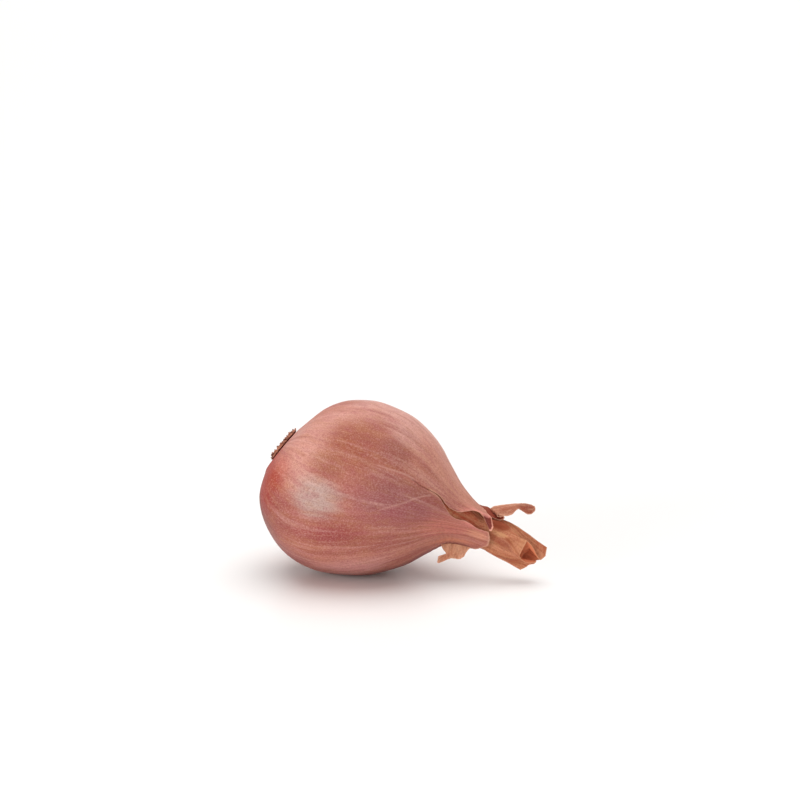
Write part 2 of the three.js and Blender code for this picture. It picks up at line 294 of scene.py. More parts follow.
def grainPlace(along, angle):
    # Place on the skin with the slant of its veins.
    slant = skin["veinSlant"] * between(angle, (60, 125), (150, 235))
    fromMiddle = np.minimum(along, skin["slantEnd"]) - skin["slantMiddle"]
    return ringPoint(angle - slant * fromMiddle, skin["grainRadius"], along)


def skinRelief(along, angle):
    grain = grainPlace(along, angle)
    field = {name: noiseField(grain * (1, 1, stretch), size, seed)
             for name, (size, stretch, seed) in skin["reliefNoise"].items()}
    relief = skin["ribHeight"] * ease(along, 24, 50) * ribsRound(angle, skin["ribs"])
    relief += skin["dentDepth"] * field["dents"]
    pleats = 0.6 - 2 * np.abs(field["pleats"]) ** 0.8
    relief += skin["gatherHeight"] * ease(along, 34, 50) * pleats
    relief += skin["fineHeight"] * ease(along, 20, 48) * field["fine"]
    underNeck = between(angle, (78, 100), (168, 195)) * between(along, (43, 46.5), (50, 54))
    bend = along + skin["wrinkleDrift"] * field["drift"]
    relief += skin["wrinkleHeight"] * underNeck * np.sin(bend * skin["wrinkleTurn"])
    return relief


def skinLift(along, angle):
    offset = np.abs(angle - skin["lipAngle"])
    offset = np.minimum(offset, 360 - offset)
    nearLip = 1 - ease(offset, 0, skin["lipSpread"])
    return skin["lipLift"] * nearLip * ease(along, 47, 54)


def skinRadii(along):
    return readColumns(shoulderCurve, along, (1, 2))


def skinDepth(along):
    return blend(skin["bulbDepth"], skin["neckDepth"], ease(along, 38, 54))


def skinPoint(along, angle, radii, raised):
    above, below = radii
    radius = blend(above, below, (1 - np.cos(np.radians(angle))) / 2)
    radius = radius + np.clip(radius / 4, 0, 1) * raised
    return sectionPoint(bulbAxis, along, angle, radius, radius * skinDepth(along))


def profileRows():
    # Rows of the skin at even steps along its profile, finer on the neck.
    steps = np.linalg.norm(np.diff(profileCurve[:, :2], axis=0), axis=1)
    onNeck = profileCurve[1:, 0] > skin["rimStart"]
    weight = np.cumsum(steps / np.where(onNeck, skin["neckStep"], skin["bulbStep"]))
    weight = np.concatenate([[0], weight])
    at = np.linspace(0, weight[-1], int(weight[-1]) + 1)
    return np.stack([np.interp(at, weight, profileCurve[:, i]) for i in range(3)], -1)


def tearEdges(along):
    return readColumns(skin["tear"], along, (1, 2))


def buildOuterSkin():
    rimStart, profileEnd = skin["rimStart"], skin["profileEnd"]
    rows = profileRows()
    share = evenSteps(skin["columns"])
    # Columns crowd together towards the tear.
    base = tearMiddle + 360 * (share - 0.5 / (2 * math.pi) * np.sin(2 * math.pi * share))
    rowAlong, angle = np.meshgrid(rows[:, 0], base, indexing="ij")

    # Rows past rimStart reach to the ragged rim.
    ragged = noiseField(ringPoint(base), 0.13, 2.2) + 0.6 * noiseField(ringPoint(base), 0.05, 4.2)
    nearLower = 1 - ease(base - tearMiddle, 0, skin["tearReach"])
    nearUpper = 1 - ease(tearMiddle + 360 - base, 0, skin["tearReach"])
    endUpper, endLower = tearEdges(skin["rimAtTear"])
    rimAngle = base + nearLower * (endLower - tearMiddle) + nearUpper * (endUpper - tearMiddle)
    rimAt = readTable(skin["rim"], rimAngle % 360) + skin["rimRaggedness"] * ragged
    reach = np.clip((rowAlong - rimStart) / (profileEnd - rimStart), 0, 1)
    along = rowAlong + reach * (rimAt - profileEnd)
    fromRim = rimAt - along

    # Columns near the tear follow its two edges.
    upper, lower = tearEdges(along)
    opens = ease(along, skin["pocketStart"], skin["pocketStart"] + 1)
    line = np.stack([along, 0 * along, 0 * along], -1)
    jagged = skin["tearRaggedness"] * opens * noiseField(line, 0.7, 6.6)
    angle = angle + nearLower * (lower - tearMiddle + jagged)
    angle = angle + nearUpper * (upper - tearMiddle - jagged)
    fromUpper = upper + 360 - angle
    fromLower = angle - lower
    radii = tuple(np.where(along > rimStart, onNeck, rows[:, column:column + 1])
                  for column, onNeck in enumerate(skinRadii(along), 1))

    raised = skinRelief(along, angle) + skinLift(along, angle)
    raised += skin["crackLift"] * ease(along, 30, 40) * np.exp(-(fromUpper / 5) ** 2)
    raised += skin["lowerCurl"] * ease(along, 45, 49) * np.exp(-(fromLower / 6) ** 2)
    groove = ease(along, 36.5, 38.5) * (1 - opens)
    groove = groove * (np.exp(-(fromUpper / 0.5) ** 2) + np.exp(-(fromLower / 0.9) ** 2))
    raised -= skin["grooveDepth"] * groove
    # The corner of the upper lip folds inwards: its rim is high and its free edge dips.
    corner = ease(angle, *skin["cornerAngle"]) * ease(along, 54, 54.8)
    # The folded-in face gets painted shade over the inner side's dark red.
    tongue = corner * ease(fromRim, 0.2, 0.45)
    raised += corner * (0.4 - 0.8 * np.clip(fromRim, 0, 1.5))
    outer = skinPoint(along, angle, radii, raised)

    # Hollow neck: its inner side starts at a cap and runs to the rim.
    first = int(np.argmax(along[:, 0] > skin["pocketStart"]))
    thinning = 1.35 - 0.35 * ease(along, *skin["thickStretch"])
    thickness = skin["paperThickness"] * thinning
    inner = skinPoint(along, angle, radii, raised - thickness)[first:]
    outer[:, :, 2] = np.maximum(outer[:, :, 2], 0)  # it rests flat on the ground
    for surface in (outer[:first + 1], inner[:1]):
        surface[:, -1] = surface[:, 0]

    outerIndex, innerIndex, capMiddle, faces = shellFaces(outer, inner)
    for column in (0, -1):
        faces += gridQuads(np.stack([outerIndex[first:, column], innerIndex[:, column]], 1))
    faces += fanFaces(innerIndex[0], capMiddle)

    # What the material reads.
    plainAngle = angle % 360
    arc = np.radians(1) * radii[0]
    seam = np.zeros(along.shape)
    for name in ("crack", "film"):
        line = paleLines[name]
        start, end = line[0][0], line[-1][0]
        offset = (plainAngle - readTable(line, along)) * arc
        faded = between(along, (start - 1, start + 4), (end - 0.5, end))
        seam = np.maximum(seam, faded * np.exp(-(offset / paleLines["width"]) ** 2))
    belowFilm = readTable(paleLines["film"], along) - plainAngle
    film = between(along, (22, 32), (42, 42.8)) * ease(belowFilm, 0, 1.5)
    film *= ease(plainAngle, 52, 56)
    atTear = opens * (1 - ease(np.minimum(fromUpper, fromLower), 0.2, 3.2))
    edge = np.maximum(1 - ease(fromRim, 0.05, 0.9), 0.8 * atTear)
    grain = grainPlace(along, angle)
    attributes = {
        "grain": shellValues(grain, grain[first:], grain[first, 0]),
        "tornEdge": shellValues(edge, edge[first:], 0),
        "within": shellValues(0 * edge, 1 + 0 * edge[first:], 1),
        # Painted shade on the lip's folded-in corner.
        "hollowShade": shellValues(tongue, tongue[first:], 0),
        "seam": shellValues(seam, 0 * seam[first:], 0),
        "film": shellValues(film, 0 * film[first:], 0),
    }
    points = shellValues(outer, inner, inner[0].mean(0))
    return makePiece("outerSkin", points, faces, attributes)


# Skin flap under the neck.

flap = {
    # Its four sides as points [x, y, z]; it hangs from the root.
    "root": [
        (22.3, -4.2, 9.6), (24.2, -4, 9.9), (26.4, -3.6, 9.7), (28.4, -3.2, 9.2), (29.9, -3, 8.9),
    ],
    "left": [
        (22.3, -4.2, 9.6), (22.9, -4.6, 8.5), (23.8, -5, 7.6), (22.8, -5.4, 7.2), (21.9, -5.8, 6.9),
    ],
    "edge": [
        (21.9, -5.8, 6.9), (21.8, -6, 5.4), (22.9, -5.9, 5.6), (24.3, -5.6, 6.2), (25.4, -5.2, 6.4),
        (27.1, -4.8, 6.3), (28.3, -4.2, 6.8),
    ],
    "right": [(29.9, -3, 8.9), (29.3, -3.4, 8.5), (28.8, -3.8, 7.8), (28.3, -4.2, 6.8)],
    "thickness": 0.2, "wave": 0.25, "crumple": 0.5, "flutter": 0.12, "columns": 72,
    "rows": 44,
}


def closedSheet(grid, thickness):
    # Thin closed body on a grid of points.
    normals = gridNormals(grid)
    sides = [grid + normals * thickness / 2, grid - normals * thickness / 2]
    index = np.arange(grid[..., 0].size).reshape(grid.shape[:2])
    back = index + index.size
    faces = gridQuads(index) + gridQuads(back[:, ::-1])
    for line in ((0,), (-1,), (slice(None), 0), (slice(None), -1)):
        faces += gridQuads(np.stack([index[line], back[line]], 0))
    return np.vstack([side.reshape(-1, 3) for side in sides]), faces


def buildSkinFlap():
    # A surface between its four sides, which meet at their ends.
    columns, rows = flap["columns"], flap["rows"]
    top, bottom = smoothCurve(flap["root"], columns), smoothCurve(flap["edge"], columns)
    start, end = smoothCurve(flap["left"], rows)[:, None], smoothCurve(flap["right"], rows)[:, None]
    u, v = np.meshgrid(evenSteps(columns), evenSteps(rows))
    across, down = u[..., None], v[..., None]
    corners = blend(blend(top[0], top[-1], across), blend(bottom[0], bottom[-1], across), down)
    grid = blend(top, bottom, down) + blend(start, end, across) - corners
    grid[..., 1] += flap["wave"] * np.sin(9 * u + 2 * v) * v
    grid[..., 1] += flap["crumple"] * noiseField(grid * (1, 0, 1), 2.3, 4.4) * v
    grid += flap["flutter"] * noiseField(grid, 0.9, 7.7)[..., None] * v[..., None]
    points, faces = closedSheet(grid, flap["thickness"])
    border = np.minimum(1 - v, 0.9 * np.minimum(u, 1 - u) + 0.02)
    edge = 1 - ease(border, 0, 0.12)
    x, z = grid[..., 0], grid[..., 2]
    grain = np.stack([x * 1.1, z * 0.8 + 3 * v, 8 * v + 0.5 * x], -1)
    attributes = {
        "grain": np.vstack([grain.reshape(-1, 3)] * 2), "tornEdge": np.tile(edge.ravel(), 2),
        "within": np.zeros(len(points)), "hollowShade": np.zeros(len(points)),
    }
    return makePiece("skinFlap", points, faces, attributes)


# Inner skin round the neck.

sheath = {
    "neckStations": [46, 48.5, 51, 54],  # distances along the bulb's axis
    "neckWall": 1.2, "neckDrop": 0.7,
    "points": [(35, 11.5), (39.8, 9.4), (43.3, 7.7), (46.6, 5.9)],
    "sizes": [(4.6, 2.9), (5, 2.6), (4.5, 2.3), (4.3, 2.2)],  # half height, half depth
    # Torn end, folded over its mouth: [angle, x, y, z].
    "end": [
        (0, 48.9, -0.2, 9.3), (9, 48.5, -0.5, 7.1), (17, 47.5, -0.9, 6.1), (26, 46.9, -1.2, 6.8),
        (34, 46, -1.5, 8.6), (42, 45.2, -1.6, 9.9), (52, 44, -1.8, 11.3), (62, 43.1, -2.6, 9.5),
        (73, 42.3, -2.9, 7.8), (84, 42.7, -2.8, 6.4), (96, 43.7, -2.5, 5.7), (112, 45, -2, 5.4),
        (128, 46.4, -1.3, 5.7), (140, 45.7, -0.9, 5), (152, 44.3, -0.9, 4.6), (162, 43.5, -0.8, 3.9),
        (173, 42.2, -0.3, 3), (200, 42.4, 1, 3.2), (240, 45.4, 1.4, 4.9), (275, 47, 1.4, 5.6),
        (310, 48.1, 1.1, 7.2), (340, 48.7, 0.5, 8.9), (360, 48.9, -0.2, 9.3),
    ],
    # Folds as [distance along, angle] at each end, half width and height.
    "folds": [
        ((13.3, 92), (17.3, 48), 0.7, 0.22), ((12.3, 37), (14.7, 35), 1.5, -0.5),
        ((14.8, 88), (17.2, 80), 1.5, -0.2), ((16.6, 68), (22, 76), 0.35, -0.25),
        ((17, 60), (23, 55), 0.3, -0.18), ((15, 20), (22, 34), 0.4, 0.16),
        ((12, 118), (20, 120), 0.4, 0.16),
        ((12, 215), (19, 230), 0.5, -0.25), ((11, 290), (20, 300), 0.45, 0.2),
        ((14, 335), (20, 325), 0.4, -0.2),
    ],
    "start": -3.6,
    "plainEnd": 15.6,  # the round tube turns into its folded end here
    "plainShare": 0.62,
    "underSkin": 0.55,  # how far below the outer skin it lies in the tear
    "underNeck": 0.25,  # and how much further in the neck
    "degreeWidth": 0.075,  # millimetres round the tube in one degree
    "pocketShare": 0.66,  # how far along the folded end the pocket starts
    "paper": 0.2,
    "ribs": [(3, 0.15, 0.4), (7, 0.09, 1.9)],
    "flatness": 0.35,  # below 1 the tube's edges get rounder
    "creaseHeight": 0.14, "smallCreaseHeight": 0.07, "grainRadius": 5, "columns": 200,
    "rows": 150,
}


def sheathPath():
    wall, steps = sheath["neckWall"], 400
    centres, sizes = [], []
    stations = sheath["neckStations"]
    for place, along in enumerate(stations):
        above, below = skinRadii(along)
        halfHeight = (above + below) / 2
        centre, _, up = pathFrame(bulbAxis, along)
        drop = sheath["neckDrop"] * place / (len(stations) - 1)
        centres.append(centre + up * ((above - below) / 2 - drop))
        sizes.append((halfHeight - wall - drop, skinDepth(along) * halfHeight - wall))
    centres += [np.array([x, 0, z]) for x, z in sheath["points"]]
    sizes += sheath["sizes"]
    curve = smoothCurve(centres, steps)
    lengths = pathLengths(curve)
    stops = [lengths[round(steps * place / (len(centres) - 1))] for place in range(len(centres))]
    return measuredPath(curve), [(stop, *size) for stop, size in zip(stops, sizes)]


def buildNeckSheath():
    path, sizes = sheathPath()
    angles = evenSteps(sheath["columns"], 360)
    share, angle = np.meshgrid(evenSteps(sheath["rows"]), angles, indexing="ij")
    plainShare = sheath["plainShare"]
    onEnd = np.clip((share - plainShare) / (1 - plainShare), 0, 1)
    onPlain = np.clip(share / plainShare, 0, 1)
    reach = blend(sheath["start"], sheath["plainEnd"], onPlain)

    # In the neck it follows the outer skin; further out it is a flat, creased paper tube.
    along = reach + sheath["neckStations"][0]
    below = sheath["underSkin"] + sheath["underNeck"] * ease(along, 50, 56)
    under = skinPoint(along, angle, skinRadii(along), skinRelief(along, angle) - below)
    crumple = ease(reach, 7, 15)
    ribs = crumple * ribsRound(angle, sheath["ribs"])
    height, depth = readColumns(sizes, reach, (1, 2))
    depth = (depth + ribs) * np.abs(np.sin(np.radians(angle))) ** sheath["flatness"]
    tube = sectionPoint(path, reach, angle, height + ribs, depth)
    outer = blend(under, tube, ease(along, 51.5, 59)[..., None])

    # Each column then runs on, first straight and then to its place on the torn end.
    ring = ringPoint(angles)
    ragged = 0.16 * noiseField(ring, 0.2, 3.3) + 0.1 * noiseField(ring, 0.07, 1.3)
    _, forward, _ = pathFrame(path, sheath["plainEnd"])
    tornEnd = np.stack(readColumns(sheath["end"], angles, (1, 2, 3)), -1)
    tornEnd = tornEnd + ragged[:, None] * forward
    ringStart = outer[-1]
    span = np.linalg.norm(tornEnd - ringStart, axis=-1, keepdims=True)
    t = onEnd[..., None]
    bent = (2 * t ** 3 - 3 * t ** 2 + 1) * ringStart + (t ** 3 - 2 * t ** 2 + t) * span * forward
    bent = bent + (3 * t ** 2 - 2 * t ** 3) * tornEnd + (t ** 3 - t ** 2) * (tornEnd - ringStart)
    outer = np.where(t > 0, bent, outer)
    reach = reach + onEnd * span[:, 0]

    # Creases in the dry paper, then the folds.
    cell = ringPoint(angle, 4, reach * 0.22)
    creases = 1 - 2.2 * np.abs(noiseField(cell, 2.1, 9.1))
    small = 1 - 2.2 * np.abs(noiseField(cell * (1, 1, 0.6), 0.9, 2.7))
    push = sheath["creaseHeight"] * creases + sheath["smallCreaseHeight"] * small
    push = push * crumple * (1 - 0.6 * onEnd)
    place = np.stack([reach, angle * sheath["degreeWidth"]], -1)
    for start, end, halfWidth, high in sheath["folds"]:
        start, end = (np.array(point) * (1, sheath["degreeWidth"]) for point in (start, end))
        run = end - start
        at = np.clip(np.sum((place - start) * run, -1) / np.sum(run * run), 0, 1)[..., None]
        push = push - high * np.exp(-np.sum((place - start - at * run) ** 2, -1) / halfWidth ** 2)
    outer = outer - gridNormals(outer) * push[..., None]
    outer[:, -1] = outer[:, 0]

    # Its paper goes inwards: one point of the plain tube tells on which side that is.
    normals = gridNormals(outer)
    row, column = 60, 50
    outwards = np.sign(np.sum(normals[row, column] * (outer[row, column] - outer[row].mean(0))))
    first = int(np.argmax(onEnd[:, 0] > sheath["pocketShare"]))
    inner = (outer - normals * outwards * sheath["paper"])[first:]
    inner[:, -1] = inner[:, 0]

    outerIndex, innerIndex, capMiddle, faces = shellFaces(outer, inner)
    faces += fanFaces(outerIndex[0, ::-1], capMiddle) + fanFaces(innerIndex[0], capMiddle + 1)

    grain = ringPoint(angle, sheath["grainRadius"], reach)
    edge = 1 - ease((1 - onEnd) * span[:, 0], 0.05, 0.5)
    attributes = {
        "grain": shellValues(grain, grain[first:], grain[[0, first], 0]),
        "tornEdge": shellValues(edge, edge[first:], (0, 0)),
        "within": shellValues(0 * edge, 1 + 0 * edge[first:], (0, 1)),
        # Dents get painted shade, darker the deeper they are.
        "hollowShade": shellValues(push / 0.5, push[first:] / 0.5, (0, 0)),
    }
    points = shellValues(outer, inner, (outer[0].mean(0), inner[0].mean(0)))
    return makePiece("neckSheath", points, faces, attributes)


# Curled strip.

strip = {
    # [x, y, z] along the middle, then half width and how far the near edge hangs, in degrees.
    "middle": [
        (30.9, 0.6, 19.1, 0.6, 12), (32.2, 0.5, 18.5, 1, 18), (33.5, 0.4, 17.8, 1.3, 24),
        (34.6, 0.3, 17.2, 1.4, 28), (35.5, 0.2, 16.8, 1.4, 30), (36.2, 0.2, 16.75, 1.4, 30),
        (36.55, 0.2, 17.05, 1.4, 30), (36.35, 0.2, 17.4, 1.35, 30), (35.8, 0.2, 17.45, 1.3, 28),
        (35.35, 0.2, 17.5, 1.25, 22), (35.3, 0.2, 17.75, 1.25, 22), (35.8, 0.2, 17.95, 1.4, 28),
        (37, 0.2, 18.3, 1.6, 36), (39.1, 0.1, 19.05, 1.4, 36), (41.2, 0, 19.7, 0.95, 36),
        (42.4, -0.1, 19.65, 1.05, 42), (43.4, -0.2, 19.45, 1.3, 46), (44.4, -0.3, 19.25, 1.4, 46),
        (45.2, -0.3, 19.4, 1, 46), (45.6, -0.3, 19.75, 0.4, 46),
    ],
    "skew": 0.8,  # how far the near edge of the roll lies towards its tip
    "thickness": 0.18, "arch": 0.55, "raggedness": 0.1, "crumple": 0.1,
    "grainRadius": 3,  # its grain lies on a flat strip this far from the grain's axis
    "grainWidth": 2.2, "columns": 30, "rows": 220,
}


def buildCurledStrip():
    curve = smoothCurve(strip["middle"], strip["rows"])
    middle, halfWidth, hang = curve[:, :3], curve[:, 3], np.radians(curve[:, 4])
    forward = unit(np.gradient(middle, axis=0))
    across = np.stack([0 * hang, -np.cos(hang), -np.sin(hang)], -1)
    across = unit(across - forward * np.sum(across * forward, axis=1, keepdims=True))
    up = np.cross(across, forward)
    length = pathLengths(middle)
    side = np.linspace(-1, 1, strip["columns"] + 1)
    share = evenSteps(strip["rows"])
    edgeNoise = noiseField(np.stack([share * 30, 0 * share, 0 * share], -1), 1, 5.1)
    reach = side * (halfWidth * (1 + strip["raggedness"] * edgeNoise))[:, None]
    grid = middle[:, None] + across[:, None] * reach[..., None]
    skew = strip["skew"] * between(length, (3, 6), (11, 15))
    grid[..., 0] += (skew * halfWidth)[:, None] * side
    arch = strip["arch"] * ease(length, 8, 12) * (halfWidth / 1.5) ** 2
    grid = grid - up[:, None] * (arch[:, None] * side ** 2)[..., None]
    grid += strip["crumple"] * noiseField(grid, 1.2, 3.9)[..., None]
    points, faces = closedSheet(grid, strip["thickness"])

    along = np.broadcast_to(length[:, None], grid.shape[:2])
    grainSide = strip["grainWidth"] * side + 0 * along
    grain = np.stack([grainSide, strip["grainRadius"] + 0 * along, along], -1)
    border = np.minimum(1 - np.abs(side), (length[-1] - length)[:, None] * 0.7)
    edge = (0.3 + 0.7 * ease(along, 3.5, 5.5)) * (1 - ease(border, 0, 0.3))
    attributes = {
        "grain": np.vstack([grain.reshape(-1, 3)] * 2),
        "tornEdge": np.tile(edge.ravel(), 2),
        "within": np.repeat([1, 0], along.size),
        # Painted shade on the base of the strip, fading out between 6 and 7.5 mm along it.
        "hollowShade": np.tile((0.9 * (1 - ease(along, 6, 7.5))).ravel(), 2),
    }
    return makePiece("curledStrip", points, faces, attributes)


# Root plate and its rootlets.

root = {
    "profile": [
        (1.1, 2.6), (0.4, 3.6), (0.05, 4), (-0.12, 4.45), (-0.3, 4.75), (-0.5, 4.7), (-0.68, 4.2),
        (-0.74, 2.2), (-0.7, 0),
    ],
    "lift": 1.2,  # above the middle of the root end
    "columns": 120, "raggedness": 0.35,
    "roughness": (0.22, 0.14),  # height of its large and small lumps
    # Rootlets, in millimetres: short bent stubs, sunk a little into the plate.
    "stubSpacing": 0.62, "stubLength": 0.42, "stubRadius": 0.27, "stubSunk": 0.3,
    "stubBend": 0.25, "stubHandles": ((0, 0, 0.2), (0.1, 0, 0.6)),
    "stubTaper": 0.6,  # radius at the tip, as a share
    "stubScales": (0.45, 1.25),
    "stubLean": 0.6,  # radians
    "stubFacing": 0.15,  # they grow where it faces out this much
    "seed": 5,
}


def buildRootPlate(material):
    profile = smoothCurve(root["profile"], 36)
    angles = evenSteps(root["columns"], 360)
    along, angle = np.meshgrid(profile[:, 0], angles, indexing="ij")
    ring = ringPoint(angle, 1, along * 0.2)
    ragged = root["raggedness"] * (noiseField(ring, 0.3, 1.1) + 0.7 * noiseField(ring, 0.09, 6.1))
    radius = profile[:, 1:2] * (1 + ragged / 5)
    _, forward, up = pathFrame(bulbAxis, 0)
    grid = sectionPoint(bulbAxis, along, angle, radius, radius) + root["lift"] * up
    large, small = root["roughness"]
    rough = large * noiseField(grid, 1.3, 2.1) + small * noiseField(grid, 0.5, 7.1)
    grid = grid + (rough * ease(-along, 0.2, 0.9))[..., None] * forward
    grid[:, -1] = grid[:, 0]
    index = np.arange(along.size).reshape(along.shape)
    faces = gridQuads(index) + fanFaces(index[0, ::-1], index.size)
    points = np.vstack([grid.reshape(-1, 3), grid[0].mean(0)])
    # Painted shade: dark red on the side of the plate that meets the skin, in the gap between them.
    gapShade = np.append(ease(along, -0.4, -0.15), 0)
    plate = makePiece("rootPlate", points, faces, {"gapShade": gapShade})
    growRootlets(plate, material)
    return plate


def addNode(tree, kind, inputs=None, **settings):
    node = tree.nodes.new(kind if "Node" in kind else "ShaderNode" + kind)
    for name, value in settings.items():
        setattr(node, name, value)
    for key, value in (inputs or {}).items():
        if isinstance(value, bpy.types.Node):
            value = value.outputs[0]  # a node stands for its first output
        if isinstance(value, bpy.types.NodeSocket):
            tree.links.new(value, node.inputs[key])
        else:
            node.inputs[key].default_value = value
    return node


def rootletTree(material):
    # Rootlets on the outer face of the plate: tapered bent stubs, each turned and scaled at random.
    sunk, bent, long, radius = (
        root["stub" + size] * mm for size in ("Sunk", "Bend", "Length", "Radius"))
    startHandle, endHandle = np.array(root["stubHandles"]) * mm
    lean, (smallest, largest) = root["stubLean"], root["stubScales"]
    tree = bpy.data.node_groups.new("rootlets", "GeometryNodeTree")
    for direction in ("INPUT", "OUTPUT"):
        tree.interface.new_socket("Geometry", in_out=direction, socket_type="NodeSocketGeometry")
    plain = addNode(tree, "NodeGroupInput").outputs[0]
    _, forward, _ = pathFrame(bulbAxis, 0)
    facing = addNode(tree, "VectorMath", {
        0: addNode(tree, "GeometryNodeInputNormal"), 1: tuple(-forward),
    }, operation="DOT_PRODUCT")
    outside = addNode(tree, "FunctionNodeCompare", {
        "A": facing.outputs["Value"], "B": root["stubFacing"],
    }, data_type="FLOAT", operation="GREATER_THAN")
    points = addNode(tree, "GeometryNodeDistributePointsOnFaces", {
        "Mesh": plain, "Selection": outside, "Density Max": 9e6,
        "Distance Min": root["stubSpacing"] * mm, "Seed": root["seed"],
    }, distribute_method="POISSON")
    line = addNode(tree, "GeometryNodeCurvePrimitiveBezierSegment", {
        "Resolution": 5, "Start": (0, 0, -sunk), "Start Handle": tuple(startHandle),
        "End Handle": tuple(endHandle), "End": (bent, 0, long),
    })
    taper = mapRange(tree, addNode(tree, "GeometryNodeSplineParameter"), 0, 1,
                     1, root["stubTaper"], "LINEAR")
    circle = addNode(tree, "GeometryNodeCurvePrimitiveCircle", {"Resolution": 6, "Radius": radius})
    stub = addNode(tree, "GeometryNodeCurveToMesh", {
        "Curve": line, "Profile Curve": circle, "Scale": taper, "Fill Caps": True,
    })
    # A half turn either way about its own axis, and a lean.
    turn = addNode(tree, "FunctionNodeRandomValue", {
        0: (-lean, -lean, -3.1), 1: (lean, lean, 3.1), "Seed": 3,
    }, data_type="FLOAT_VECTOR")
    turned = addNode(tree, "FunctionNodeRotateRotation", {
        "Rotation": points.outputs["Rotation"], "Rotate By": turn,
    }, rotation_space="LOCAL")
    size = addNode(tree, "FunctionNodeRandomValue", {
        2: smallest, 3: largest, "Seed": 8,
    }, data_type="FLOAT")
    placed = addNode(tree, "GeometryNodeInstanceOnPoints", {
        "Points": points.outputs["Points"], "Instance": stub,
        "Rotation": turned, "Scale": size.outputs[1],
    })
    real = addNode(tree, "GeometryNodeRealizeInstances", {"Geometry": placed})
    smooth = addNode(tree, "GeometryNodeSetShadeSmooth", {"Geometry": real})
    joined = addNode(tree, "GeometryNodeJoinGeometry", {0: smooth})
    tree.links.new(plain, joined.inputs[0])
    painted = addNode(tree, "GeometryNodeSetMaterial", {"Geometry": joined, "Material": material})
    addNode(tree, "NodeGroupOutput", {0: painted})
    return tree


def growRootlets(plate, material):
    modifier = plate.modifiers.new("rootlets", "NODES")
    modifier.node_group = rootletTree(material)
    bpy.context.view_layer.update()
    evaluated = plate.evaluated_get(bpy.context.evaluated_depsgraph_get())
    grown = bpy.data.meshes.new_from_object(evaluated)
    plate.modifiers.remove(modifier)
    plate.data = grown
    print(f"rootPlate with rootlets: {len(grown.polygons)} faces")


# Materials.

def linearColour(hexColour):
    parts = [int(hexColour[i:i + 2], 16) / 255 for i in (1, 3, 5)]
    return (*(p / 12.92 if p <= 0.04045 else ((p + 0.055) / 1.055) ** 2.4 for p in parts), 1)


def newMaterial(name):
    material = bpy.data.materials.new(name)
    material.use_nodes = True
    material.node_tree.nodes.clear()
    return material, material.node_tree


def finishMaterial(tree, inputs):
    shader = addNode(tree, "BsdfPrincipled", {"IOR": 1.45, **inputs})
    addNode(tree, "OutputMaterial", {"Surface": shader})


def readAttribute(tree, name, output="Fac"):
    return addNode(tree, "Attribute", attribute_name=name).outputs[output]


def addBump(tree, height, strength, distance, **under):
    return addNode(tree, "Bump", {
        "Height": height, "Strength": strength, "Distance": distance, **under,
    })


def mixColours(tree, first, second, share):
    colours = [linearColour(c) if isinstance(c, str) else c for c in (first, second)]
    node = addNode(tree, "Mix", {
        0: share, 6: colours[0], 7: colours[1],
    }, data_type="RGBA")
    return node.outputs[2]


def mapRange(tree, value, low, high, toLow=0, toHigh=1, kind="SMOOTHSTEP"):
    return addNode(tree, "MapRange", {
        "Value": value, "From Min": low, "From Max": high, "To Min": toLow, "To Max": toHigh,
    }, interpolation_type=kind)


def grainNoise(tree, grain, width, stretch, seed, detail, roughness):
    # Noise of a given width in millimetres, drawn out along the grain.
    place = addNode(tree, "Mapping", {
        "Vector": grain, "Location": (seed, seed * 0.7, seed * 1.3),
        "Scale": (1 / width, 1 / width, 1 / (width * stretch)),
    })
    return addNode(tree, "TexNoise", {
        "Vector": place, "Scale": 1, "Detail": detail, "Roughness": roughness,
    })


